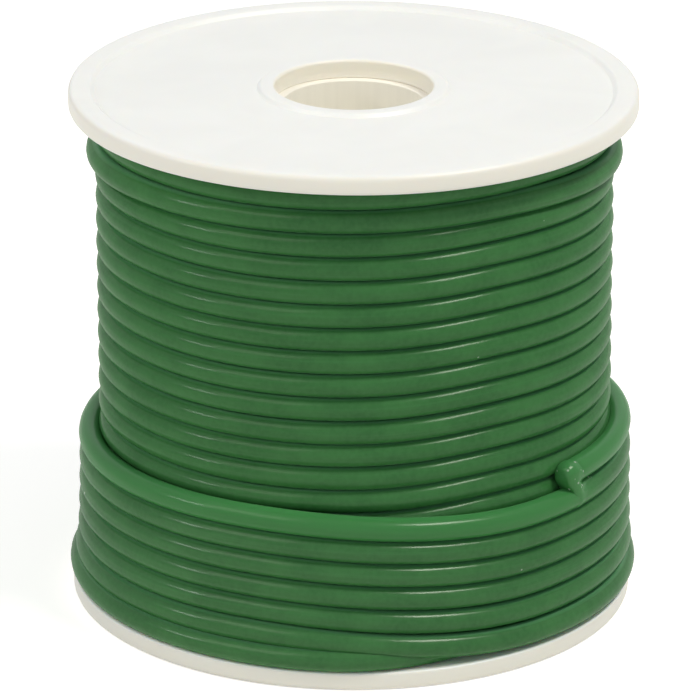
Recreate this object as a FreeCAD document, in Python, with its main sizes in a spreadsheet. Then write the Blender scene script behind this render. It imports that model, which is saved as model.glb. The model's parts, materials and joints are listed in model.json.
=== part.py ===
import FreeCAD, Part
import Sketcher
import math
import os

# A wire spool: two flanges on a barrel tube, wound with soft green wire 3.5 mm thick.
# Lengths in mm. The spool's axis is +Z, and the origin is in the middle of its underside.
# The first layer of turns shows above, and seven turns of a second layer lie on its lower part.

doc = FreeCAD.newDocument("wire_spool")


# Driving sizes

SIZES = (
    ("flange_diameter", 82.6, "over the rim of either flange"),
    ("rim_thickness", 2.8, "flange rim, outer face to inner face"),
    ("rim_width", 3.5, "raised bead round the outer face"),
    ("rim_chamfer", 0.5, "broken edges of the rim"),
    ("web_recess", 0.6, "depth of the web below the rim bead"),
    ("boss_width", 2.55, "raised ring round the opening"),
    ("boss_slope", 1.2, "width of the boss's sloped outer lip"),
    ("ledge_width", 1.2, "the tube's end that shows in the opening"),
    ("opening_chamfer", 0.3, "broken edge of the opening"),
    ("collar_depth", 5.0, "socket that grips the barrel tube"),
    ("collar_wall", 2.4, "wall of that socket"),
    ("tube_bore", 20.5, "bore of the barrel tube, for a spindle"),
    ("tube_wall", 2.25, "wall of the barrel tube"),
    ("winding_width", 72.0, "between the flanges' inner faces"),
    ("seat_clearance", 0.05, "between pieces that lie against each other"),
    ("wire_diameter", 3.5, "real thickness of the wire"),
    ("turn_gap", 0.5, "left between turns, so each stays a separate loop"),
    ("wire_sides", 6.0, "sides of the wire's section"),
    ("first_layer_diameter", 75.7, "over the turns of the first layer"),
    ("first_layer_half_turns", 29.0, "half turns of the first layer"),
    ("first_layer_end_angle", -60.0, "where the first layer reaches the top flange"),
    ("top_turn_dip", 0.4, "space over the first layer's last full turn"),
    ("second_layer_pitch", 3.45, "rise of the second layer for each turn"),
    ("second_layer_turns", 7.0, "turns of the second layer"),
    ("cut_end_angle", -35.0, "where the second layer starts and ends"),
    ("front_crossing_share", 0.6, "part of its pitch climbed over the front"),
    ("bottom_turn_bulge", 0.8, "the lowest turn stands out by this at the left"),
    ("bead_height", 6.2, "melted bead that holds the cut end"),
    ("bead_bulge", 1.6, "radius of the bead at its middle"),
)


def make_sheet():
    sheet = doc.addObject("Spreadsheet::Sheet", "Sizes")
    for row, (alias, value, note) in enumerate(SIZES, start=1):
        sheet.set("A%d" % row, alias)
        sheet.set("B%d" % row, str(value))
        sheet.setAlias("B%d" % row, alias)
        sheet.set("C%d" % row, note)
    doc.recompute()
    return sheet


sheet = make_sheet()


def size(alias):
    return float(sheet.get(alias))


# Helpers for sketched pieces

def new_body(name):
    body = doc.addObject("PartDesign::Body", name)
    body.Label = name
    return body


def origin_plane(body, role):
    for feature in body.Origin.OriginFeatures:
        if feature.Role == role:
            return feature
    raise RuntimeError("no origin plane " + role)


def new_sketch(body, name, role):
    sketch = body.newObject("Sketcher::SketchObject", name)
    sketch.AttachmentSupport = (origin_plane(body, role), [""])
    sketch.MapMode = "FlatFace"
    return sketch


def pin(sketch, kind, index, name, formula):
    # a distance of one corner from the sketch's origin, or a place on its axis where that is nought
    across, axis = ("DistanceX", -2) if kind == "x" else ("DistanceY", -1)
    if formula == "0":
        sketch.addConstraint(Sketcher.Constraint("PointOnObject", index, 1, axis))
        return
    value = float(sheet.evalExpression(formula))
    number = sketch.addConstraint(Sketcher.Constraint(across, -1, 1, index, 1, value))
    sketch.renameConstraint(number, name)
    sketch.setExpression("Constraints." + name, formula)


def closed_profile(sketch, corners):
    # corners: (formula for the radius, formula for the height), in order round the profile
    spots = []
    for across, up in corners:
        x = float(sheet.evalExpression(across))
        y = float(sheet.evalExpression(up))
        spots.append(FreeCAD.Vector(x, y, 0))
    count = len(spots)
    for index, spot in enumerate(spots):
        sketch.addGeometry(Part.LineSegment(spot, spots[(index + 1) % count]), False)
    for index in range(count):
        follower = (index + 1) % count
        sketch.addConstraint(Sketcher.Constraint("Coincident", index, 2, follower, 1))
    for index, (across, up) in enumerate(corners):
        pin(sketch, "x", index, "radius_%d" % index, across)
        pin(sketch, "y", index, "height_%d" % index, up)


def turned(body, corners):
    sketch = new_sketch(body, body.Name + "_profile", "XZ_Plane")
    closed_profile(sketch, corners)
    turning = body.newObject("PartDesign::Revolution", body.Name + "_turned")
    turning.Profile = sketch
    turning.ReferenceAxis = (sketch, ["V_Axis"])
    turning.Angle = 360.0
    sketch.Visibility = False
    return turning


# Formulas shared by the pieces, each written once

RIM = "Sizes.flange_diameter / 2"
OPENING = "Sizes.tube_bore / 2 + Sizes.ledge_width"
BOSS = OPENING + " + Sizes.boss_width"
THICK = "Sizes.rim_thickness"
TUBE_RADIUS = "Sizes.tube_bore / 2 + Sizes.tube_wall"
SOCKET = TUBE_RADIUS + " + Sizes.seat_clearance"
COLLAR = SOCKET + " + Sizes.collar_wall"
COLLAR_END = THICK + " + Sizes.collar_depth"
ROUND_COLLAR = COLLAR + " + Sizes.seat_clearance"
OVER_COLLAR = "Sizes.collar_depth + Sizes.seat_clearance"
WIDTH = "Sizes.winding_width"


def flange(name):
    # drawn with its outer face at height 0 and the winding above it
    body = new_body(name)
    chamfer = "Sizes.rim_chamfer"
    bead = RIM + " - Sizes.rim_width"
    corners = (
        (RIM + " - " + chamfer, "0"),
        (RIM, chamfer),
        (RIM, THICK + " - " + chamfer),
        (RIM + " - " + chamfer, THICK),
        (COLLAR, THICK),
        (COLLAR, COLLAR_END),
        (SOCKET, COLLAR_END),
        (SOCKET, THICK),
        (OPENING, THICK),
        (OPENING, "Sizes.opening_chamfer"),
        (OPENING + " + Sizes.opening_chamfer", "0"),
        (BOSS + " - Sizes.boss_slope", "0"),
        (BOSS, "Sizes.web_recess"),
        (bead, "Sizes.web_recess"),
        (bead + " + Sizes.web_recess", "0"),
    )
    turned(body, corners)
    return body


def bottom_flange():
    return flange("bottom_flange")


def top_flange():
    body = flange("top_flange")
    body.Placement.Rotation = FreeCAD.Rotation(FreeCAD.Vector(1, 0, 0), 180)
    body.setExpression("Placement.Base.z", WIDTH + " + 2 * " + THICK)
    return body


def barrel_tube():
    body = new_body("barrel_tube")
    sketch = new_sketch(body, "barrel_rings", "XY_Plane")
    for index, formula in enumerate(("Sizes.tube_bore / 2", TUBE_RADIUS)):
        radius = float(sheet.evalExpression(formula))
        ring = Part.Circle(FreeCAD.Vector(0, 0, 0), FreeCAD.Vector(0, 0, 1), radius)
        sketch.addGeometry(ring, False)
        sketch.addConstraint(Sketcher.Constraint("Coincident", index, 3, -1, 1))
        number = sketch.addConstraint(Sketcher.Constraint("Radius", index, radius))
        sketch.renameConstraint(number, "ring_%d" % index)
        sketch.setExpression("Constraints.ring_%d" % index, formula)
    pad = body.newObject("PartDesign::Pad", "barrel_length")
    pad.Profile = sketch
    pad.setExpression("Length", WIDTH)
    sketch.Visibility = False
    body.setExpression("Placement.Base.z", THICK)
    return body


# The winding's shared measures, all from the sheet

SOLID_WIRE = "(Sizes.wire_diameter - Sizes.turn_gap)"
LAYER_STEP = SOLID_WIRE + " + Sizes.seat_clearance"
FIRST_CENTRE = "(Sizes.first_layer_diameter - Sizes.wire_diameter) / 2"
SECOND_CENTRE = FIRST_CENTRE + " + " + LAYER_STEP
UNDER_FIRST = FIRST_CENTRE + " - " + SOLID_WIRE + " / 2 - Sizes.seat_clearance"
UNDER_SECOND = UNDER_FIRST + " + " + LAYER_STEP
UNDER_DIVE = UNDER_FIRST + " - " + LAYER_STEP
TURN_ROOM = "Sizes.wire_diameter"
WIRE_SEAT = SOLID_WIRE + " / 2 + Sizes.seat_clearance"
FIRST_TOP = WIDTH + " - " + WIRE_SEAT + " - Sizes.top_turn_dip"
FIRST_BOTTOM = FIRST_TOP + " - Sizes.first_layer_half_turns * Sizes.wire_diameter / 2"
SHOULDER = FIRST_BOTTOM + " - " + WIRE_SEAT


def value(formula):
    return float(sheet.evalExpression(formula))


def inner_layers():
    # the hidden layers of wire as one plain core, grooved where a turn passes between layers
    body = new_body("wire_inner_layers")
    corners = (
        (SOCKET, OVER_COLLAR),
        (ROUND_COLLAR, OVER_COLLAR),
        (ROUND_COLLAR, "0"),
        (UNDER_FIRST, "0"),
        (UNDER_FIRST, TURN_ROOM),
        (UNDER_SECOND, TURN_ROOM),
        (UNDER_SECOND, SHOULDER),
        (UNDER_FIRST, SHOULDER),
        (UNDER_FIRST, WIDTH + " - " + TURN_ROOM),
        (UNDER_DIVE, WIDTH + " - " + TURN_ROOM),
        (UNDER_DIVE, WIDTH),
        (ROUND_COLLAR, WIDTH),
        (ROUND_COLLAR, WIDTH + " - (" + OVER_COLLAR + ")"),
        (SOCKET, WIDTH + " - (" + OVER_COLLAR + ")"),
    )
    turned(body, corners)
    body.setExpression("Placement.Base.z", THICK)
    return body


# The wound wire: knots on its centre line, joined by biarcs

def knot(angle, radius, height, climb, way):
    # a point of the centre line and its direction; climb is the rise for each radian turned
    turn = math.radians(angle)
    point = FreeCAD.Vector(radius * math.cos(turn), radius * math.sin(turn), height)
    ahead = FreeCAD.Vector(-way * radius * math.sin(turn), way * radius * math.cos(turn), climb)
    ahead.normalize()
    return point, ahead


def arc_between(start, corner, end):
    # the arc that touches both sides of the corner, through its middle point
    weight = start.distanceToPoint(end) / 2 / start.distanceToPoint(corner)
    middle = (start + corner * (2 * weight) + end) * (1 / (2 + 2 * weight))
    return Part.Arc(start, middle, end).toShape()


def biarc(first, second):
    start, leaving = first
    end, arriving = second
    chord = end - start
    both = leaving + arriving
    spread = 2 * (1 - leaving.dot(arriving))
    along = chord.dot(both)
    reach = (math.sqrt(along * along + spread * chord.dot(chord)) - along) / spread
    joint = (start + end + (leaving - arriving) * reach) * 0.5
    lead = arc_between(start, start + leaving * reach, joint)
    tail = arc_between(joint, end - arriving * reach, end)
    return [lead, tail]


def centre_line(knots, straight):
    # straight for one tube diameter at both ends
    start, leaving = knots[0]
    end, arriving = knots[-1]
    edges = [Part.makeLine(start - leaving * straight, start)]
    for first, second in zip(knots, knots[1:]):
        edges += biarc(first, second)
    edges.append(Part.makeLine(end, end + arriving * straight))
    return Part.Wire(edges)


def section(point, ahead, diameter, sides):
    # a regular polygon square to the line, with a flat side facing out
    outward = FreeCAD.Vector(point.x, point.y, 0)
    across = ahead.cross(outward).normalize()
    outward = across.cross(ahead).normalize()
    corners = []
    for side in range(sides + 1):
        turn = 2 * math.pi * (side + 0.5) / sides
        corners.append(point + (outward * math.cos(turn) + across * math.sin(turn)) * (diameter / 2))
    return Part.makePolygon(corners)


def to_segment(point, start, end):
    run = end - start
    share = (point - start).dot(run) / run.dot(run)
    share = min(max(share, 0.0), 1.0)
    return point.distanceToPoint(start + run * share)


def least_gap(line, turns, diameter):
    # between each point of the line and the stretches that lie about one turn further on
    each_turn = 90
    reach = 20
    points = line.discretize(Number=int(turns * each_turn))
    least = line.Length
    for index, point in enumerate(points):
        middle = index + each_turn
        for other in range(middle - reach, min(middle + reach, len(points) - 1)):
            least = min(least, to_segment(point, points[other], points[other + 1]))
    return least - diameter


def wound_tube(name, knots, turns):
    diameter = value(SOLID_WIRE)
    line = centre_line(knots, diameter)
    start, leaving = knots[0]
    profile = section(start - leaving * diameter, leaving, diameter, int(size("wire_sides")))
    shell = Part.BRepOffsetAPI.MakePipeShell(line)
    shell.add(profile, False, False)
    shell.build()
    shell.makeSolid()
    piece = doc.addObject("Part::Feature", name)
    piece.Label = name
    piece.Shape = shell.shape()
    piece.Placement = FreeCAD.Placement(FreeCAD.Vector(0, 0, value(THICK)), FreeCAD.Rotation())
    expected = Part.Face(profile).Area * line.Length
    print(name, "volume", round(piece.Shape.Volume, 2), "section times length", round(expected, 2))
    print(name, "least gap to itself", round(least_gap(line, turns, diameter), 3), "mm")
    return piece


def first_layer():
    # a right-handed helix that rises to the top flange and dives to the layer below it
    pitch = size("wire_diameter")
    half_turns = int(size("first_layer_half_turns"))
    end_angle = size("first_layer_end_angle")
    radius = value(FIRST_CENTRE)
    climb = pitch / (2 * math.pi)
    knots = []
    for step in range(half_turns + 1):
        left = half_turns - step
        height = value(FIRST_TOP) - left * pitch / 2
        knots.append(knot(end_angle - 180 * left, radius, height, climb, 1))
    inner = radius - value(LAYER_STEP)
    knots.append(knot(end_angle + 90, inner, value(FIRST_TOP) + size("top_turn_dip"), 0, 1))
    return wound_tube("wire_first_layer", knots, half_turns / 2 + 0.25)


def second_layer_knots():
    # quarter turns, clockwise from above: over the front, left side, back and right side
    # the wire comes out from under its own first turn, and that turn's bulge fades behind
    comes_out = 2
    settled = 5
    pitch = size("second_layer_pitch")
    front_rise = pitch * size("front_crossing_share")
    inner = value(FIRST_CENTRE)
    outer = value(SECOND_CENTRE)
    quarters = int(4 * size("second_layer_turns"))
    knots = []
    for quarter in range(quarters + 1):
        turn, part = divmod(quarter - 1, 4)
        height = turn * pitch
        if part >= 2:
            height += pitch - front_rise
        if quarter < comes_out:
            radius = inner
        else:
            fading = max(settled - quarter, 0) / (settled - comes_out)
            radius = outer + size("bottom_turn_bulge") * fading
        height = value(WIRE_SEAT) + max(height, 0)
        knots.append(knot(size("cut_end_angle") - 90 * quarter, radius, height, 0, -1))
    return knots


def second_layer():
    return wound_tube("wire_second_layer", second_layer_knots(), size("second_layer_turns"))


def bead_lump():
    # a short round bar, drawn in at both ends
    body = new_body("bead_lump")
    tall = "Sizes.bead_height"
    wide = "Sizes.bead_bulge"
    corners = (
        ("0", "0"),
        (wide + " * 0.5", "0"),
        (wide, tall + " / 4"),
        (wide, tall + " * 3 / 4"),
        (wide + " * 0.5", tall),
        ("0", tall),
    )
    turned(body, corners)
    return body


def tack_bead(turns):
    # the melted bead over the cut end and the turn below it
    end, arriving = second_layer_knots()[-1]
    outward = FreeCAD.Vector(end.x, end.y, 0).normalize()
    back = value(SOLID_WIRE) - size("bead_bulge") / 2
    middle = end + arriving * back + outward * (value(SOLID_WIRE) / 4)
    middle.z += value(THICK) - (size("second_layer_pitch") + size("bead_height")) / 2
    lump = bead_lump()
    facing = FreeCAD.Rotation(FreeCAD.Vector(1, 0, 0), outward)
    lump.Placement = FreeCAD.Placement(middle, facing)
    bead = doc.addObject("Part::Cut", "tack_bead")
    bead.Label = "tack_bead"
    bead.Base = lump
    bead.Tool = turns
    return bead


def build():
    pieces = [bottom_flange(), top_flange(), barrel_tube(), inner_layers(), first_layer()]
    turns = second_layer()
    pieces.append(turns)
    pieces.append(tack_bead(turns))
    return pieces


pieces = build()
doc.recompute()

for item in doc.Objects:
    if "Invalid" in item.State or "Error" in item.State:
        raise RuntimeError(item.Label + " did not build")
for piece in pieces:
    if piece.Shape.isNull() or not piece.Shape.isValid():
        raise RuntimeError(piece.Label + " has no valid shape")

os.makedirs("parts", exist_ok=True)
for piece in pieces:
    piece.Shape.exportStep("parts/%s.step" % piece.Label)
    print(piece.Label, "solids", len(piece.Shape.Solids), "volume", round(piece.Shape.Volume, 1))
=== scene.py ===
import json
import math

import bmesh
import bpy
from bpy.props import FloatProperty, FloatVectorProperty, IntProperty, PointerProperty
from mathutils import Matrix, Vector, noise


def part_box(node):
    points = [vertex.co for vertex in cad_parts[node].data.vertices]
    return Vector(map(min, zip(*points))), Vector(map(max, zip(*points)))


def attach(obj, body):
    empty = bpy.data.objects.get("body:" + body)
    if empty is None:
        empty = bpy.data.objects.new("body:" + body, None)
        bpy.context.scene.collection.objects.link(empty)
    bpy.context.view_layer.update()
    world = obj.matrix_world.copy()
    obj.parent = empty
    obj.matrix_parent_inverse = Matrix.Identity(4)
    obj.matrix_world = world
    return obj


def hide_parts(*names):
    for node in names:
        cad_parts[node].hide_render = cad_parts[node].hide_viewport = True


bl_info = {
    "name": "Wire Spool",
    "version": (1, 0, 0),
    "blender": (4, 5, 0),
    "location": "3D View > Sidebar > Wire Spool",
    "description": "Dresses a plastic spool wound with thick green casting wire",
    "category": "Add Mesh",
}

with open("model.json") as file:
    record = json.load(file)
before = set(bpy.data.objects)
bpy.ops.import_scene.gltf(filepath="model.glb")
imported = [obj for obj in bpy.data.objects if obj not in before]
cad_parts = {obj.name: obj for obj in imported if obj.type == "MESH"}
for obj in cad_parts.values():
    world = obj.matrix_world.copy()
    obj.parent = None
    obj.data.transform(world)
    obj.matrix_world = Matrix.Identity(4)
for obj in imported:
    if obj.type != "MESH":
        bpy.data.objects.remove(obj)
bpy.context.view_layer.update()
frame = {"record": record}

# Everything is in metres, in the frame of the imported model: the spool's axis is Z, and -Y is the front.

MM = 0.001
NESTING = 0.9  # layers of wire lie this far apart in wire diameters, as each sinks into the grooves below
SPOOL_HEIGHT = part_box("top_flange")[1].z
FLANGE_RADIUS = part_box("top_flange")[1].x
RIM_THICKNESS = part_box("barrel_tube")[0].z
TUBE_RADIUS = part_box("barrel_tube")[1].x
SPINDLE_BORE = next(mount for mount in frame["record"]["mounts"] if mount["name"] == "spindle_bore")
BORE_RADIUS = SPINDLE_BORE["dims"]["r_mm"] * MM
UNDER_TOP_FLANGE = SPOOL_HEIGHT - RIM_THICKNESS


def linear(hex_colour):
    """The scene colour of an sRGB hex value, with alpha 1."""
    channels = []
    for start in (0, 2, 4):
        value = int(hex_colour[start:start + 2], 16) / 255
        channels.append(value / 12.92 if value <= 0.04045 else ((value + 0.055) / 1.055) ** 2.4)
    return (*channels, 1.0)


def length_prop(name, description, millimetres):
    return FloatProperty(name=name, description=description, default=millimetres * MM, unit="LENGTH")


def colour_prop(name, description, hex_colour):
    return FloatVectorProperty(
        name=name, description=description, default=linear(hex_colour), size=4, min=0, max=1, subtype="COLOR"
    )


def angle_prop(name, description, degrees):
    return FloatProperty(name=name, description=description, default=math.radians(degrees), unit="ROTATION")


# Sizes and colours that a user would change


class FlangeSizes(bpy.types.PropertyGroup):
    """Both flanges are the same moulding"""

    rim_width: length_prop("Rim width", "Raised bead round the outer face", 3.5)
    rim_round: length_prop("Rim rounding", "Rounding of the rim's edges", 0.95)
    web_recess: length_prop("Web recess", "Depth of the web below the rim", 0.6)
    boss_width: length_prop("Boss width", "Raised ring round the opening", 2.55)
    boss_round: length_prop("Boss rounding", "Rounding of the boss's outer lip", 0.55)
    ledge: length_prop("Ledge", "The tube's end that shows in the opening", 1.2)
    collar_depth: length_prop("Collar depth", "Socket that grips the tube", 5.0)
    collar_wall: length_prop("Collar wall", "Wall of that socket", 2.4)
    segments: IntProperty(name="Segments", description="Round the spool", default=240, min=48)


class WindingSizes(bpy.types.PropertyGroup):
    """The wire and how it is wound"""

    wire_diameter: length_prop("Wire diameter", "Thickness of the wire", 3.5)
    first_radius: length_prop("First layer", "Radius to the middle of the first layer's wire", 35.95)
    first_top: length_prop("First layer top", "Height of its top turn at the front", 72.75)
    first_pitch: length_prop("First pitch", "Rise of the first layer for each turn", 3.5)
    second_radius: length_prop("Second layer", "Radius to the middle of the second layer's wire", 38.95)
    second_pitch: length_prop("Second pitch", "Rise of the second layer for each turn", 3.44)
    first_climb: length_prop("First climb", "Rise of the second layer's lowest turn", 3.12)
    rise_behind: length_prop("Rise behind", "What each turn of the second layer climbs behind", 1.5)
    settle: length_prop("Settle", "The top turns sit this much lower at the right than a true helix", 2.0)
    crossing: length_prop("Crossing", "Lowest turns ride up by this where they cross the layer below", 0.6)
    left_lower: length_prop("Left lower", "The first layer sits this much lower at the left", 0.35)
    sag: length_prop("Sag", "The second layer sits this much lower at the left", 0.85)
    end_lift: length_prop("End lift", "The cut end stands this much higher", 0.5)
    bulge: length_prop("Bulge", "The lowest turn stands out by this at the left", 1.5)
    side_shift: length_prop("Side shift", "The lowest turns sit this far to the right of the axis", 0.45)
    top_bulge: length_prop("Top bulge", "The turn under the top one stands out by this", 1.25)
    second_turns: FloatProperty(name="Second turns", description="Turns of the second layer", default=6.976)
    first_turns: FloatProperty(name="First turns", description="Turns of the first layer", default=19.6)
    unevenness: length_prop("Unevenness", "How far a turn strays from its place", 0.07)
    sides: IntProperty(name="Sides", description="Round the wire", default=20, min=8)
    steps: IntProperty(name="Steps", description="Rings of mesh for each turn", default=150, min=36)


class SpoolColours(bpy.types.PropertyGroup):
    """What each material looks like in plain light"""

    flange: colour_prop("Flange", "Moulded white polystyrene", "F5F5F1")
    # painted shade: the rim's wall darker and warmer than the top, as if less lit
    flange_rim_shade: colour_prop("Flange rim", "Its wall, yellowed by handling", "EFECE2")
    # painted light: the opening's wall in a warm tone paler than the rim's, as if more lit
    flange_opening_light: colour_prop("Flange opening", "The wall of the opening", "FAF4E6")
    barrel: colour_prop("Barrel", "Extruded off-white tube", "FDF9EC")
    # painted shade: the tube's ends a little darker and warmer, as if less lit
    barrel_end_shade: colour_prop("Barrel end", "The tube's sawn end", "FBF6EA")
    wax: colour_prop("Wax", "The wire's own green", "39703B")
    wax_deep: colour_prop("Deep wax", "The wire where it is denser", "326735")
    wax_pale: colour_prop("Pale wax", "The wire where it is rubbed", "467E4A")
    # painted light: a lighter green for the last turn, as if more lit
    last_turn_painted_light: colour_prop("Last turn painted light", "The wire's last turn, which nothing lay on", "3B7D41")
    # painted light: a paler green where turns touch, which lifts the shade in the grooves
    groove_painted_light: colour_prop("Groove painted light", "The wire where turns touch", "629A6E")
    dust: colour_prop("Dust", "Specks on the wire", "DDE6DA")
    floor: colour_prop("Floor", "White paper under the spool", "F5F2EB")


class ViewSettings(bpy.types.PropertyGroup):
    """The camera, fitted to the outlines of both flanges in the photograph"""

    distance: length_prop("Distance", "From the camera to the point it looks at", 860.0)
    elevation: angle_prop("Elevation", "Of the camera above the horizon", 20.7)
    roll: angle_prop("Roll", "Of the camera about its line of sight", 0.3)
    target_height: length_prop("Target height", "Height of the point it looks at", 36.5)
    target_side: length_prop("Target side", "That point's place to the right of the axis", -0.34)
    focal: FloatProperty(name="Focal length", description="For a frame 36 mm wide", default=300.8)


# Materials

COLOUR_A, COLOUR_B, MIXED = 6, 7, 2  # the sockets of a Mix node that mixes colours
WHITE = (1.0, 1.0, 1.0, 1.0)


def add_node(tree, kind, inputs=None, **settings):
    """One node with its own settings. Each input gets its value, or a link where that is a node's output."""
    made = tree.nodes.new(kind)
    for name, value in settings.items():
        setattr(made, name, value)
    for name, value in (inputs or {}).items():
        if isinstance(value, bpy.types.NodeSocket):
            tree.links.new(value, made.inputs[name])
        else:
            made.inputs[name].default_value = value
    return made


def new_material(name):
    """An empty material, its node tree and its output node."""
    material = bpy.data.materials.new(name)
    material.use_nodes = True
    tree = material.node_tree
    tree.nodes.clear()
    return material, tree, add_node(tree, "ShaderNodeOutputMaterial")


def per_metre(millimetres):
    """The scale of a noise whose features are that large, on coordinates in metres."""
    return 1 / (millimetres * MM)


def coated(tree, tone, colour, mask, low=0.0, high=1.0, share=1.0):
    """A tone with up to that share of a colour over it, which comes in as the mask goes from low to high."""
    limits = {"Value": mask, "From Min": low, "From Max": high, "To Max": share}
    amount = add_node(tree, "ShaderNodeMapRange", limits).outputs["Result"]
    colours = {0: amount, COLOUR_A: tone, COLOUR_B: colour}
    return add_node(tree, "ShaderNodeMix", colours, data_type="RGBA").outputs[MIXED]


def darkened(colour, share):
    """A colour times that share, with alpha 1."""
    return (*(channel * share for channel in colour[:3]), 1.0)


def height_from_middle(tree, height):
    """How far a height is from the middle of the spool, up or down."""
    middle = {0: height, 1: SPOOL_HEIGHT / 2}
    apart = add_node(tree, "ShaderNodeMath", middle, operation="SUBTRACT").outputs["Value"]
    return add_node(tree, "ShaderNodeMath", {0: apart}, operation="ABSOLUTE").outputs["Value"]


def background_rays(tree):
    """1 for what the camera sees, also in a reflection or through glass, and 0 for light on the object."""
    rays = add_node(tree, "ShaderNodeLightPath").outputs
    seen = rays["Is Camera Ray"]
    for kind in ("Is Glossy Ray", "Is Transmission Ray"):
        both = {0: seen, 1: rays[kind]}
        seen = add_node(tree, "ShaderNodeMath", both, operation="ADD", use_clamp=True).outputs["Value"]
    return seen


def wax_wire(name, colours, skin=0.3, specks_apart=9, fleck=0.85, painted_light_from=1000):
    """Extruded casting wax: soft, a little see-through under a thin satin skin, with faint lines and dust.

    specks_apart is in mm. From the place that the last argument gives on, in girths along the wire, the tone
    is painted light: the last turn, which nothing lies over, is lighter as if more lit.
    """
    material, tree, output = new_material(name)
    place = add_node(tree, "ShaderNodeTexCoord").outputs["Object"]
    on_wire = add_node(tree, "ShaderNodeUVMap", uv_map="girths").outputs["UV"]
    round_wire, along_wire, _ = add_node(tree, "ShaderNodeSeparateXYZ", {"Vector": on_wire}).outputs

    # blotches of denser wax, some 9 mm long, a mottle of 0.7 mm, and a soft orange peel of 1.6 mm
    blotches, mottle, peel = (
        add_node(
            tree,
            "ShaderNodeTexNoise",
            {"Vector": place, "Scale": per_metre(length), "Detail": detail, "Roughness": roughness},
        ).outputs["Fac"]
        for length, detail, roughness in ((9, 3.0, 0.55), (0.7, 2.0, 0.5), (1.6, 2.0, 0.5))
    )

    # lines from the die, a sixteenth of the girth apart and some 60 mm long
    stretched = {"Vector": on_wire, "Scale": (16.0, 0.18, 1.0)}
    drawn = add_node(tree, "ShaderNodeMapping", stretched).outputs["Vector"]
    grooves = {"Vector": drawn, "Scale": 1.0, "Detail": 3.0, "Roughness": 0.6}
    lines = add_node(tree, "ShaderNodeTexNoise", grooves).outputs["Fac"]

    # 1 at the top and the bottom of the wire, where turns touch, and 0 halfway between
    turned = {0: round_wire, 1: 2 * math.pi}
    angle = add_node(tree, "ShaderNodeMath", turned, operation="MULTIPLY").outputs["Value"]
    rise = add_node(tree, "ShaderNodeMath", {0: angle}, operation="SINE").outputs["Value"]
    touch = add_node(tree, "ShaderNodeMath", {0: rise}, operation="ABSOLUTE").outputs["Value"]

    # dust on the wire, and flecks in the melt: specks of 0.1 to 0.3 mm
    scattered = {"Vector": place, "Scale": per_metre(specks_apart), "Randomness": 1.0}
    grains = add_node(tree, "ShaderNodeTexVoronoi", scattered).outputs["Distance"]
    speck_edge, speck_middle = 0.24 / specks_apart, 0.06 / specks_apart

    # paler where it is rubbed, painted light in the grooves where turns touch, painted light on the last
    # turn, and dust over all
    tone = coated(tree, colours.wax_deep, colours.wax, blotches, 0.38, 0.62)
    tone = coated(tree, tone, colours.wax_pale, lines, 0.55, 0.8, share=0.45)
    tone = coated(tree, tone, colours.wax_pale, mottle, 0.35, 0.65, share=0.2)
    # painted light: lifts the shade in the grooves between turns
    tone = coated(tree, tone, colours.groove_painted_light, touch, 0.82, 0.99, share=0.85)
    # painted light: the last turn is lighter, as if more lit
    tone = coated(tree, tone, colours.last_turn_painted_light, along_wire, painted_light_from, painted_light_from + 1.0, share=0.85)
    tone = coated(tree, tone, colours.dust, grains, speck_edge, speck_middle, share=fleck)

    soft = {"Height": peel, "Strength": 0.4, "Distance": 0.05 * MM}
    peeled = add_node(tree, "ShaderNodeBump", soft).outputs["Normal"]
    fine = {"Height": lines, "Strength": 0.3, "Distance": 0.03 * MM, "Normal": peeled}
    relief = add_node(tree, "ShaderNodeBump", fine).outputs["Normal"]
    surface = add_node(
        tree,
        "ShaderNodeBsdfPrincipled",
        {
            "Base Color": tone,
            "IOR": 1.44,
            "Roughness": 0.6,
            "Specular IOR Level": 0.0,
            "Coat Weight": skin,
            "Coat Roughness": 0.2,
            "Coat IOR": 1.5,
            "Subsurface Weight": 0.4,
            "Subsurface Radius": (0.6, 1.0, 0.6),
            "Subsurface Scale": 1.5 * MM,
            "Normal": relief,
            "Coat Normal": relief,
        },
    )
    tree.links.new(surface.outputs["BSDF"], output.inputs["Surface"])
    return material


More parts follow.
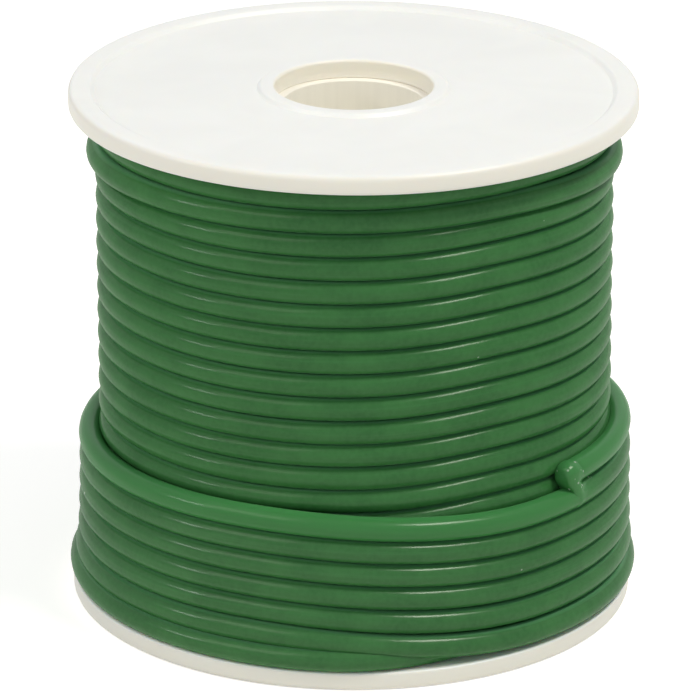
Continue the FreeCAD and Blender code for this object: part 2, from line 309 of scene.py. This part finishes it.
def moulded_polystyrene(name, colour, rim_shade_colour, opening_light_colour):
    """White polystyrene from a polished mould: a soft sheen and faint flow marks, with painted shade on the
    rim's wall, painted light in the opening and a painted highlight along the rim's inner lip.
    """
    material, tree, output = new_material(name)
    place = add_node(tree, "ShaderNodeTexCoord").outputs["Object"]

    # flow marks some 14 mm long, and a grain of 0.5 mm
    flowing = {"Vector": place, "Scale": per_metre(14), "Detail": 3.0, "Distortion": 0.6}
    flow = add_node(tree, "ShaderNodeTexNoise", flowing).outputs["Fac"]
    fine = {"Vector": place, "Scale": per_metre(0.5), "Detail": 2.0}
    grain = add_node(tree, "ShaderNodeTexNoise", fine).outputs["Fac"]
    tone = coated(tree, darkened(colour, 0.965), colour, flow, 0.35, 0.65)

    # the rim's wall gets a darker, warmer tone, painted shade, and the opening's wall a warm tone paler than
    # the rim's, painted light; the rim's inner lip keeps the clean white, a painted highlight along its edge
    side, depth, height = add_node(tree, "ShaderNodeSeparateXYZ", {"Vector": place}).outputs
    flat = add_node(tree, "ShaderNodeCombineXYZ", {"X": side, "Y": depth}).outputs["Vector"]
    reach = add_node(tree, "ShaderNodeVectorMath", {0: flat}, operation="LENGTH").outputs["Value"]
    inner_face = SPOOL_HEIGHT / 2 - RIM_THICKNESS
    wall_from, wall_full = FLANGE_RADIUS - 0.5 * MM, FLANGE_RADIUS - 0.15 * MM
    lip_ends, full_past_lip = inner_face + 0.12 * MM, inner_face + 0.3 * MM
    from_middle = height_from_middle(tree, height)
    wall, past_lip = (
        add_node(tree, "ShaderNodeMapRange", {"Value": value, "From Min": low, "From Max": high}).outputs[0]
        for value, low, high in ((reach, wall_from, wall_full), (from_middle, lip_ends, full_past_lip))
    )
    rim = add_node(tree, "ShaderNodeMath", {0: wall, 1: past_lip}, operation="MULTIPLY").outputs["Value"]
    # painted shade on the rim's wall, with a painted highlight left along its inner lip
    tone = coated(tree, tone, rim_shade_colour, rim)
    opening_ends, opening_full = BORE_RADIUS + 1.6 * MM, BORE_RADIUS + 1.3 * MM
    # painted light on the opening's wall
    tone = coated(tree, tone, opening_light_colour, reach, opening_ends, opening_full)

    polish = {"Value": flow, "From Min": 0.3, "From Max": 0.7, "To Min": 0.36, "To Max": 0.46}
    rough = add_node(tree, "ShaderNodeMapRange", polish).outputs["Result"]
    grained = {"Height": grain, "Strength": 0.25, "Distance": 0.02 * MM}
    relief = add_node(tree, "ShaderNodeBump", grained).outputs["Normal"]
    surface = add_node(
        tree,
        "ShaderNodeBsdfPrincipled",
        {
            "Base Color": tone,
            "IOR": 1.59,
            "Roughness": rough,
            "Subsurface Weight": 0.25,
            "Subsurface Radius": (1.0, 0.8, 0.55),
            "Subsurface Scale": 2.0 * MM,
            "Normal": relief,
        },
    )
    tree.links.new(surface.outputs["BSDF"], output.inputs["Surface"])
    return material


def extruded_tube(name, colour, end_shade_colour):
    """Extruded off-white polystyrene: matt, with faint lines down the bore and slightly darker, warmer ends:
    painted shade on the end faces, one of which shows as the ledge in the opening.
    """
    material, tree, output = new_material(name)
    place = add_node(tree, "ShaderNodeTexCoord").outputs["Object"]

    # lines from the die, 0.9 mm apart and some 60 mm long
    stretched = {"Vector": place, "Scale": (per_metre(0.9), per_metre(0.9), per_metre(60))}
    drawn = add_node(tree, "ShaderNodeMapping", stretched).outputs["Vector"]
    grooves = {"Vector": drawn, "Scale": 1.0, "Detail": 3.0}
    lines = add_node(tree, "ShaderNodeTexNoise", grooves).outputs["Fac"]
    tone = coated(tree, darkened(colour, 0.97), colour, lines, 0.35, 0.65)

    height = add_node(tree, "ShaderNodeSeparateXYZ", {"Vector": place}).outputs["Z"]
    half = SPOOL_HEIGHT / 2 - RIM_THICKNESS
    end_shade_from, end_shade_full = half - 0.15 * MM, half - 0.05 * MM
    # painted shade on the tube's end faces
    tone = coated(tree, tone, end_shade_colour, height_from_middle(tree, height), end_shade_from, end_shade_full)
    lined = {"Height": lines, "Strength": 0.15, "Distance": 0.02 * MM}
    relief = add_node(tree, "ShaderNodeBump", lined).outputs["Normal"]
    matt = {"Base Color": tone, "IOR": 1.59, "Roughness": 0.55, "Normal": relief}
    surface = add_node(tree, "ShaderNodeBsdfPrincipled", matt)
    tree.links.new(surface.outputs["BSDF"], output.inputs["Surface"])
    return material


def paper_floor(name, colour):
    """White paper sweep: matt, and white to the camera wherever no shadow falls."""
    material, tree, output = new_material(name)
    place = add_node(tree, "ShaderNodeTexCoord").outputs["Object"]

    # clumps of fibre some 4 mm long
    clumps = {"Vector": place, "Scale": per_metre(4), "Detail": 3.0}
    fibre = add_node(tree, "ShaderNodeTexNoise", clumps).outputs["Fac"]
    tone = coated(tree, darkened(colour, 0.985), colour, fibre)
    matt = add_node(tree, "ShaderNodeBsdfDiffuse", {"Color": tone}).outputs["BSDF"]
    lift = {0: background_rays(tree), 1: 0.55}
    strength = add_node(tree, "ShaderNodeMath", lift, operation="MULTIPLY").outputs["Value"]
    glow = add_node(tree, "ShaderNodeEmission", {"Color": WHITE, "Strength": strength}).outputs["Emission"]
    both = add_node(tree, "ShaderNodeAddShader", {0: matt, 1: glow}).outputs["Shader"]
    tree.links.new(both, output.inputs["Surface"])
    return material


# Shapes


def link_piece(name, mesh, material, slot, *nodes):
    """Puts a finished mesh in the scene, to ride on the spool and stand for those CAD nodes."""
    piece = bpy.data.objects.new(name, mesh)
    bpy.context.scene.collection.objects.link(piece)
    piece.data.materials.append(material)
    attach(piece, "root")
    if nodes:
        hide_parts(*nodes)
    return piece


def mesh_from(name, maker):
    """A smooth mesh that maker(bm) fills."""
    mesh = bpy.data.meshes.new(name)
    bm = bmesh.new()
    maker(bm)
    bmesh.ops.recalc_face_normals(bm, faces=bm.faces)
    for face in bm.faces:
        face.smooth = True
    bm.to_mesh(mesh)
    bm.free()
    return mesh


def rounded(corners, steps=5):
    """A closed outline from (x, z, rounding) corners, with an arc at each rounded one."""
    most_of_edge = 0.49  # so that the arcs at both ends of an edge stay apart
    outline = []
    count = len(corners)
    for index, (x, z, rounding) in enumerate(corners):
        corner = Vector((x, z))
        if rounding <= 0:
            outline.append(corner)
            continue
        before = Vector(corners[index - 1][:2]) - corner
        after = Vector(corners[(index + 1) % count][:2]) - corner
        half = before.angle(after) / 2
        shorter = min(before.length, after.length)
        reach = min(rounding / math.tan(half), shorter * most_of_edge)
        start = corner + before.normalized() * reach
        end = corner + after.normalized() * reach
        for step in range(steps + 1):
            share = step / steps
            outline.append(start.lerp(corner, share).lerp(corner.lerp(end, share), share))
    return outline


def lathe(bm, outline, segments):
    """Turns a closed (x, z) outline round the Z axis."""
    rings = []
    for index in range(segments):
        turn = 2 * math.pi * index / segments
        side, depth = math.cos(turn), math.sin(turn)
        rings.append([bm.verts.new((spot.x * side, spot.x * depth, spot.y)) for spot in outline])
    count = len(outline)
    for index, ring in enumerate(rings):
        other = rings[(index + 1) % segments]
        for spot in range(count):
            follower = (spot + 1) % count
            bm.faces.new((ring[spot], other[spot], other[follower], ring[follower]))


def sharpen(piece, degrees):
    """Keeps edges crisp where faces meet at more than that angle."""
    piece.data.set_sharp_from_angle(angle=math.radians(degrees))


def smooth_step(value):
    """0 below 0, 1 above 1, and an easy climb between."""
    value = min(max(value, 0.0), 1.0)
    return value * value * (3 - 2 * value)


def sweep(bm, centres, radii, sides):
    """A round tube along centres, with one radius for each, and its girth as the unit of its UV map."""
    uv = bm.loops.layers.uv.new("girths")
    girth = 2 * math.pi * max(radii)
    rings = []
    run = 0.0
    runs = []
    for index, centre in enumerate(centres):
        before = centres[max(index - 1, 0)]
        after = centres[min(index + 1, len(centres) - 1)]
        ahead = (after - before).normalized()
        inward = Vector((-centre.x, -centre.y, 0)).normalized()
        up = inward.cross(ahead).normalized()
        inward = ahead.cross(up)
        if index:
            run += (centre - centres[index - 1]).length
        runs.append(run / girth)
        ring = []
        for side in range(sides):
            turn = 2 * math.pi * side / sides
            outward = inward * math.cos(turn) + up * math.sin(turn)
            ring.append(bm.verts.new(centre + outward * radii[index]))
        rings.append(ring)
    for index in range(len(rings) - 1):
        for side in range(sides):
            corners = ((side, index), (side + 1, index), (side + 1, index + 1), (side, index + 1))
            face = bm.faces.new([rings[ring][place % sides] for place, ring in corners])
            for loop, (place, ring) in zip(face.loops, corners):
                loop[uv].uv = (place / sides, runs[ring])
    for ring, place in ((rings[0], runs[0]), (rings[-1], runs[-1])):
        cap = bm.faces.new(ring)
        for loop, side in zip(cap.loops, range(sides)):
            loop[uv].uv = (side / sides, place)


def rounded_ends(count, radius, start_round, end_round, spacing):
    """Radii along a wire whose ends are drawn in over those lengths, but not quite to a point."""
    smallest = 0.03
    radii = []
    for index in range(count):
        from_start = index * spacing
        from_end = (count - 1 - index) * spacing
        share = 1.0
        for gone, length in ((from_start, start_round), (from_end, end_round)):
            if length > 0 and gone < length:
                share *= math.sqrt(max(1 - (1 - gone / length) ** 2, smallest))
        radii.append(radius * share)
    return radii


def drift(along, seed):
    """A smooth stray between about -1 and 1, with some three swings a turn; along is in turns."""
    swings, full = 3.1, 1.6
    return full * noise.noise(Vector((along * swings, seed, 0.5)))


# The path of the wire: turns are counted from the front, where the angle is -90 degrees


def on_spool(turns, radius, height, side=0.0):
    """A point at that many turns, anticlockwise from the front as seen from above."""
    angle = -math.pi / 2 + 2 * math.pi * turns
    return Vector((radius * math.cos(angle) + side, radius * math.sin(angle), height))


def side_shift(sizes, height):
    """The winding isn't quite true: lower turns sit further to the right, down to a quarter of the height."""
    at_top = 0.3
    depth = min((UNDER_TOP_FLANGE - height) / (0.75 * UNDER_TOP_FLANGE), 1.0)
    return sizes.side_shift * (at_top + (1 - at_top) * depth)


def around(turns):
    """How far a place is from the front, in turns from -0.5 to 0.5, to the right positive."""
    return turns - math.floor(turns + 0.5)


def lean(sizes, turns, height):
    """What a turn of the first layer strays in height from a true helix, which falls off behind.

    Places are in turns from the front, and level is a share of the winding's height.
    """
    place = around(turns)
    level = height / UNDER_TOP_FLANGE
    crossing_at, crossing_reach = 0.085, 0.05
    ride_at_foot, ride_at_top = 1.35, 0.25
    crosses = math.exp(-(((place - crossing_at) / crossing_reach) ** 2))
    rides_up = crosses * (ride_at_foot + (ride_at_top - ride_at_foot) * level)
    settles_from, settles_over = 0.09, 0.18
    none_at, full_at = 0.13, 0.93
    settled = smooth_step((place - settles_from) / settles_over) * (level - none_at) / (full_at - none_at)
    left_from, left_over = 0.13, 0.12
    lower_left = smooth_step((-place - left_from) / left_over)
    behind_from, behind_over = 0.3, 0.2
    in_front = 1 - smooth_step((abs(place) - behind_from) / behind_over)
    return (sizes.crossing * rides_up - sizes.settle * settled - sizes.left_lower * lower_left) * in_front


def first_layer_point(sizes, turns):
    """The first layer climbs to the right; turns is 0 at the front of its top turn, and less below."""
    stray = sizes.unevenness * drift(turns, 3.0)
    height = sizes.first_top + sizes.first_pitch * turns + stray
    height += lean(sizes, turns, height)
    highest = UNDER_TOP_FLANGE - sizes.wire_diameter / 2
    radius = sizes.first_radius + 0.5 * sizes.unevenness * drift(turns, 11.0)

    # the top turn dives behind the turn below it, which is pushed out at both sides
    dive_from, dive_over = 0.22, 0.25
    radius -= smooth_step((turns - dive_from) / dive_over) * sizes.wire_diameter * NESTING
    if -1.5 < turns < -0.5:
        radius += sizes.top_bulge * (1 - math.cos(4 * math.pi * (turns + 1))) / 2
    return on_spool(turns, radius, min(height, highest), side_shift(sizes, height))


def climb_behind(sizes, turn):
    """What a turn of the second layer climbs behind: the lowest ones less."""
    lowest_lacks, next_keeps = 0.74, 0.45
    return sizes.rise_behind * (1 - lowest_lacks * next_keeps ** max(turn, 0))


def second_layer_height(sizes, turns):
    """Each turn climbs a little behind and the rest in front; turns is clockwise from the right front."""
    turn = math.floor(turns)
    part = turns - turn
    over_front = 0.18
    level = RIM_THICKNESS + sizes.wire_diameter / 2
    left = [level + max(number, 0) * sizes.second_pitch for number in (turn - 1, turn)]
    left = [spot - (sizes.second_pitch - sizes.first_climb) * (spot > level) for spot in left]
    if part < over_front:
        right = left[0] + (climb_behind(sizes, turn - 1) if turn > 0 else 0.0)
        return right + (left[1] - right) * smooth_step(part / over_front)
    return left[1] + climb_behind(sizes, turn) * smooth_step((part - over_front) / (1 - over_front))


def second_layer_point(sizes, turns):
    """The second layer climbs to the left, from under its own first turn at the right front."""
    right_front = 0.115
    height = second_layer_height(sizes, turns) + 0.5 * sizes.unevenness * drift(turns, 23.0)

    # it sags at the left, and its end stands up
    part = turns - math.floor(turns)
    sags_from, sags_to, sags_over = 0.18, 0.42, 0.2
    sags = smooth_step((part - sags_from) / sags_over) * (1 - smooth_step((part - sags_to) / sags_over))
    lifts_over = 0.35
    height -= sizes.sag * sags
    height += sizes.end_lift * smooth_step((turns - sizes.second_turns) / lifts_over + 1)
    height = max(height, RIM_THICKNESS + sizes.wire_diameter / 2)

    # it comes out from the first layer's radius, bulges most at the left of its lowest turn, and calms down
    out_from, out_over = -0.01, 0.14
    bulge_from, bulge_fades = 0.37, 1.2
    stands_out = sizes.second_radius - sizes.first_radius
    stands_out += sizes.bulge * math.exp(-max(turns - bulge_from, 0.0) / bulge_fades)
    radius = sizes.first_radius + stands_out * smooth_step((turns - out_from) / out_over)
    radius += 0.4 * sizes.unevenness * drift(turns, 31.0)
    return on_spool(right_front - turns, radius, height, side_shift(sizes, height))


def wire_mesh(name, sizes, path, start, end, start_round=0.0, end_round=0.0):
    """The wire along path(sizes, turns) from start to end."""
    count = int(abs(end - start) * sizes.steps) + 1
    centres = [path(sizes, start + (end - start) * index / (count - 1)) for index in range(count)]
    spacing = (centres[1] - centres[0]).length
    radii = rounded_ends(count, sizes.wire_diameter / 2, start_round, end_round, spacing)
    return mesh_from(name, lambda bm: sweep(bm, centres, radii, sizes.sides))


def pair_outline(rise, half_gap, radius, filled):
    """From the middle between two wires to their outline, with the groove filled in by that share.

    rise is the sine of the direction's angle, and half_gap is from the middle to each wire's own middle.
    """
    climb = abs(rise) * half_gap
    pair = climb + math.sqrt(max(climb**2 + radius**2 - half_gap**2, 0.0))
    side = math.sqrt(max(1 - rise * rise, 1e-9))
    flat = radius / side if radius * abs(rise) <= half_gap * side else pair
    return pair + filled * (flat - pair)


def flange_outline(sizes):
    """The flange's outline, its outer face at height 0 and the winding above it."""
    outer = FLANGE_RADIUS
    opening = BORE_RADIUS + sizes.ledge
    boss = opening + sizes.boss_width
    clearance = 0.05 * MM
    socket = TUBE_RADIUS + clearance
    collar = socket + sizes.collar_wall
    bead = outer - sizes.rim_width
    collar_top = RIM_THICKNESS + sizes.collar_depth
    fine = 0.25 * MM
    foot = 0.3 * MM
    half_slope = 0.3 * MM
    boss_slope = 0.45 * MM
    return rounded(
        (
            (outer, 0.0, sizes.rim_round),
            (outer, RIM_THICKNESS, 0.5 * sizes.rim_round),
            (collar, RIM_THICKNESS, 0.0),
            (collar, collar_top, fine),
            (socket, collar_top, fine),
            (socket, RIM_THICKNESS, 0.0),
            (opening, RIM_THICKNESS, fine),
            (opening, 0.0, 2 * fine),
            (boss - boss_slope, 0.0, sizes.boss_round),
            (boss, sizes.web_recess, foot),
            (bead - half_slope, sizes.web_recess, foot),
            (bead + half_slope, 0.0, 2 * fine),
        )
    )


def tube_outline():
    """The barrel tube's outline, with its ends lightly broken."""
    broken = 0.15 * MM
    top = UNDER_TOP_FLANGE
    return rounded(
        (
            (BORE_RADIUS, RIM_THICKNESS, broken),
            (TUBE_RADIUS, RIM_THICKNESS, broken),
            (TUBE_RADIUS, top, broken),
            (BORE_RADIUS, top, broken),
        ),
        steps=3,
    )


# Operators, one for each piece or group of like pieces


class WIRESPOOL_OT_flanges(bpy.types.Operator):
    """Both moulded flanges, with rounded rims, sunk webs and raised bosses"""

    bl_idname = "wirespool.flanges"
    bl_label = "Flanges"

    def execute(self, context):
        sizes = context.scene.spool_flange
        colours = context.scene.spool_colours
        finish = moulded_polystyrene(
            "moulded_white_polystyrene", colours.flange, colours.flange_rim_shade, colours.flange_opening_light
        )
        outline = flange_outline(sizes)
        over = [Vector((spot.x, SPOOL_HEIGHT - spot.y)) for spot in outline]
        for name, shape, node in (
            ("bottom_flange_moulding", outline, "bottom_flange"),
            ("top_flange_moulding", over, "top_flange"),
        ):
            mesh = mesh_from(name, lambda bm: lathe(bm, shape, sizes.segments))
            piece = link_piece(name, mesh, finish, "flange_plastic", node)
            sharpen(piece, 50)
        return {"FINISHED"}


class WIRESPOOL_OT_barrel(bpy.types.Operator):
    """The barrel tube, whose end shows as a ledge in each opening"""

    bl_idname = "wirespool.barrel"
    bl_label = "Barrel tube"

    def execute(self, context):
        colours = context.scene.spool_colours
        finish = extruded_tube("extruded_polystyrene_tube", colours.barrel, colours.barrel_end_shade)
        segments = context.scene.spool_flange.segments
        mesh = mesh_from("barrel_tube_extrusion", lambda bm: lathe(bm, tube_outline(), segments))
        piece = link_piece("barrel_tube_extrusion", mesh, finish, "barrel_plastic", "barrel_tube")
        sharpen(piece, 50)
        return {"FINISHED"}


class WIRESPOOL_OT_hidden_layers(bpy.types.Operator):
    """The layer of wire under the outer ones, wound the other way, which shows only between turns"""

    bl_idname = "wirespool.hidden_layers"
    bl_label = "Hidden layers"

    def execute(self, context):
        sizes = context.scene.spool_winding
        finish = bpy.data.materials["casting_wax_wire"]
        low = RIM_THICKNESS + sizes.wire_diameter / 2
        high = UNDER_TOP_FLANGE - sizes.wire_diameter / 2
        turns = (high - low) / sizes.first_pitch
        radius = sizes.first_radius - sizes.wire_diameter * NESTING

        def path(_, along):
            return on_spool(-along, radius, low + along * sizes.first_pitch)

        mesh = wire_mesh("wire_under_layer", sizes, path, 0.0, turns)
        link_piece("wire_under_layer", mesh, finish, "wire_wax", "wire_inner_layers")
        return {"FINISHED"}


class WIRESPOOL_OT_first_layer(bpy.types.Operator):
    """The full layer of turns, from the bottom flange to where it dives at the top one"""

    bl_idname = "wirespool.first_layer"
    bl_label = "First layer"

    def execute(self, context):
        sizes = context.scene.spool_winding
        finish = wax_wire("casting_wax_wire", context.scene.spool_colours)
        mesh = wire_mesh("wire_outer_turns", sizes, first_layer_point, -sizes.first_turns, 0.5)
        link_piece("wire_outer_turns", mesh, finish, "wire_wax", "wire_first_layer")
        return {"FINISHED"}


class WIRESPOOL_OT_second_layer(bpy.types.Operator):
    """The second layer's turns on the lower part, up to the cut end"""

    bl_idname = "wirespool.second_layer"
    bl_label = "Second layer"

    def execute(self, context):
        sizes = context.scene.spool_winding
        start, end = -0.15, sizes.second_turns
        # painted light on its last turn, which nothing lies over; a turn is this long in girths
        turn_length = 2 * sizes.second_radius / sizes.wire_diameter
        last_turn = (end - 1 - start) * turn_length
        finish = wax_wire("casting_wax_wire_end", context.scene.spool_colours, skin=0.4, painted_light_from=last_turn)
        mesh = wire_mesh("wire_top_turns", sizes, second_layer_point, start, end, end_round=3.0 * MM)
        link_piece("wire_top_turns", mesh, finish, "wire_wax", "wire_second_layer")
        return {"FINISHED"}


class WIRESPOOL_OT_tack(bpy.types.Operator):
    """The melted bead that holds the cut end to the turn below it"""

    bl_idname = "wirespool.tack"
    bl_label = "Melted bead"

    def execute(self, context):
        sizes = context.scene.spool_winding
        colours = context.scene.spool_colours
        # the melt takes the last turn's painted light all over
        finish = wax_wire(
            "melted_casting_wax", colours, skin=0.45, specks_apart=1.3, fleck=0.55, painted_light_from=-9
        )
        # it reaches to_front and to_back from a place that is set_back from the cut end, and its foot lags
        set_back, to_front, to_back, foot_lag = 1.7 * MM, 2.1 * MM, 3.8 * MM, 1.4 * MM
        stands_out, sinks_in, sinks_from, bluntness = 1.03, 0.1, 0.3, 0.3
        # how far lumps stand out, and how close together they are
        lumps = ((0.01, 2.3), (0.012, 6.0))

        def melt(bm):
            girths = bm.loops.layers.uv.new("girths")
            bmesh.ops.create_icosphere(bm, subdivisions=5, radius=1.0)
            girth = {}
            for vert in bm.verts:
                spot = vert.co.copy()
                across = max(math.hypot(spot.y, spot.z), 1e-6)
                side, rise = spot.y / across, spot.z / across
                girth[vert] = math.atan2(rise, abs(side)) / (2 * math.pi)
                # its top hardly lags, and its foot wholly
                lag = foot_lag * smooth_step(0.6 - 0.5 * rise)
                along = spot.x * (to_front if spot.x > 0 else to_back) - set_back - lag
                turns = sizes.second_turns + along / (2 * math.pi * sizes.second_radius)
                upper, lower = (second_layer_point(sizes, turns - number) for number in (0, 1))
                middle, up = (upper + lower) / 2, (upper - lower) / 2
                outward = Vector((middle.x, middle.y, 0)).normalized()

                # behind the end it sinks into both turns, and no longer fills the groove between them
                sinking = smooth_step(sinks_from - spot.x)
                lumpy = sum(size * noise.noise(spot * often) for size, often in lumps)
                swell = (stands_out - sinks_in * sinking + lumpy) * across ** bluntness
                reach = swell * pair_outline(rise, up.length, sizes.wire_diameter / 2, 1 - sinking)
                vert.co = middle + (outward * side + up.normalized() * rise) * reach
            for face in bm.faces:
                for loop in face.loops:
                    loop[girths].uv = (girth[loop.vert], 0.0)

        mesh = mesh_from("melted_bead", melt)
        link_piece("melted_bead", mesh, finish, "wire_wax", "tack_bead")
        return {"FINISHED"}


class WIRESPOOL_OT_stage(bpy.types.Operator):
    """The floor, the lamps, the world and the camera"""

    bl_idname = "wirespool.stage"
    bl_label = "Stage"

    def execute(self, context):
        scene = context.scene
        self.add_floor(scene)
        self.add_lamps(scene)
        self.add_world(scene)
        self.add_camera(scene)
        scene.view_settings.view_transform = "Standard"
        return {"FINISHED"}

    def add_floor(self, scene):
        half = 3.0

        def sheet(bm):
            spots = ((-half, -half), (half, -half), (half, half), (-half, half))
            bm.faces.new([bm.verts.new((x, y, 0.0)) for x, y in spots])

        floor = bpy.data.objects.new("floor", mesh_from("floor", sheet))
        floor.data.materials.append(paper_floor("white_paper_floor", scene.spool_colours.floor))
        scene.collection.objects.link(floor)

    def add_lamps(self, scene):
        middle = Vector((0, 0, SPOOL_HEIGHT / 2))
        # name, degrees to the right of the front, elevation, distance, width, height, watts, colour
        for name, side, up, away, width, height, power, colour in (
            ("key_right", 62, 59, 1.1, 0.4, 0.16, 6.2, "FFFCF2"),
            ("strip_left", -74, 25, 1.1, 0.25, 0.1, 1.4, "FFFFFF"),
            ("softbox_left", -50, 42, 1.2, 0.8, 0.5, 2.9, "FFFAEC"),
            ("softbox_front", 0, 12, 1.4, 1.0, 0.6, 0.3, "EEF4FF"),
        ):
            data = bpy.data.lights.new(name, "AREA")
            data.shape = "RECTANGLE"
            data.size = width
            data.size_y = height
            data.energy = power
            data.color = linear(colour)[:3]
            lamp = bpy.data.objects.new(name, data)
            turn, rise = math.radians(side - 90), math.radians(up)
            level = math.cos(rise)
            direction = Vector((math.cos(turn) * level, math.sin(turn) * level, math.sin(rise)))
            lamp.location = middle + direction * away
            lamp.rotation_euler = direction.to_track_quat("Z", "Y").to_euler()
            scene.collection.objects.link(lamp)

    def add_world(self, scene):
        world = bpy.data.worlds.new("studio")
        world.use_nodes = True
        tree = world.node_tree
        tree.nodes.clear()
        # an even, dim and cool room, and white to the camera
        room, room_tint = 0.4, linear("ECF2FF")
        seen = background_rays(tree)
        power = {"Value": seen, "To Min": room, "To Max": 1.0}
        strength = add_node(tree, "ShaderNodeMapRange", power).outputs["Result"]
        tint = coated(tree, room_tint, WHITE, seen)
        light = add_node(tree, "ShaderNodeBackground", {"Color": tint, "Strength": strength})
        add_node(tree, "ShaderNodeOutputWorld", {"Surface": light.outputs["Background"]})
        scene.world = world

    def add_camera(self, scene):
        view = scene.spool_view
        tilt = view.elevation
        back = Vector((0, -math.cos(tilt), math.sin(tilt)))
        side = Vector((1, 0, 0))
        up = Vector((0, math.sin(tilt), math.cos(tilt)))
        turned_side = side * math.cos(view.roll) + up * math.sin(view.roll)
        turned_up = up * math.cos(view.roll) - side * math.sin(view.roll)
        data = bpy.data.cameras.new("camera")
        data.lens = view.focal
        data.sensor_width = 36.0
        data.clip_end = 20.0
        camera = bpy.data.objects.new("camera", data)
        place = Vector((view.target_side, 0, view.target_height)) + back * view.distance
        turn = Matrix((turned_side, turned_up, back)).transposed().to_4x4()
        camera.matrix_world = Matrix.Translation(place) @ turn
        scene.collection.objects.link(camera)
        scene.camera = camera


class WIRESPOOL_PT_panel(bpy.types.Panel):
    """Lists the spool's pieces and sizes"""

    bl_idname = "WIRESPOOL_PT_panel"
    bl_label = "Wire Spool"
    bl_space_type = "VIEW_3D"
    bl_region_type = "UI"
    bl_category = "Wire Spool"

    def draw(self, context):
        layout = self.layout
        for operator in OPERATORS:
            layout.operator(operator.bl_idname)
        for group in ("spool_flange", "spool_winding", "spool_colours", "spool_view"):
            values = getattr(context.scene, group)
            box = layout.box()
            for name in values.__annotations__:
                box.prop(values, name)


OPERATORS = (
    WIRESPOOL_OT_flanges,
    WIRESPOOL_OT_barrel,
    WIRESPOOL_OT_first_layer,
    WIRESPOOL_OT_hidden_layers,
    WIRESPOOL_OT_second_layer,
    WIRESPOOL_OT_tack,
    WIRESPOOL_OT_stage,
)

GROUPS = {
    "spool_flange": FlangeSizes,
    "spool_winding": WindingSizes,
    "spool_colours": SpoolColours,
    "spool_view": ViewSettings,
}

CLASSES = (*GROUPS.values(), *OPERATORS, WIRESPOOL_PT_panel)


def register():
    for item in CLASSES:
        bpy.utils.register_class(item)
    for name, group in GROUPS.items():
        setattr(bpy.types.Scene, name, PointerProperty(type=group))


def unregister():
    for name in GROUPS:
        delattr(bpy.types.Scene, name)
    for item in reversed(CLASSES):
        bpy.utils.unregister_class(item)


def main():
    register()
    bpy.ops.wirespool.flanges()
    bpy.ops.wirespool.barrel()
    bpy.ops.wirespool.first_layer()
    bpy.ops.wirespool.hidden_layers()
    bpy.ops.wirespool.second_layer()
    bpy.ops.wirespool.tack()
    bpy.ops.wirespool.stage()


if __name__ == "__main__":
    main()
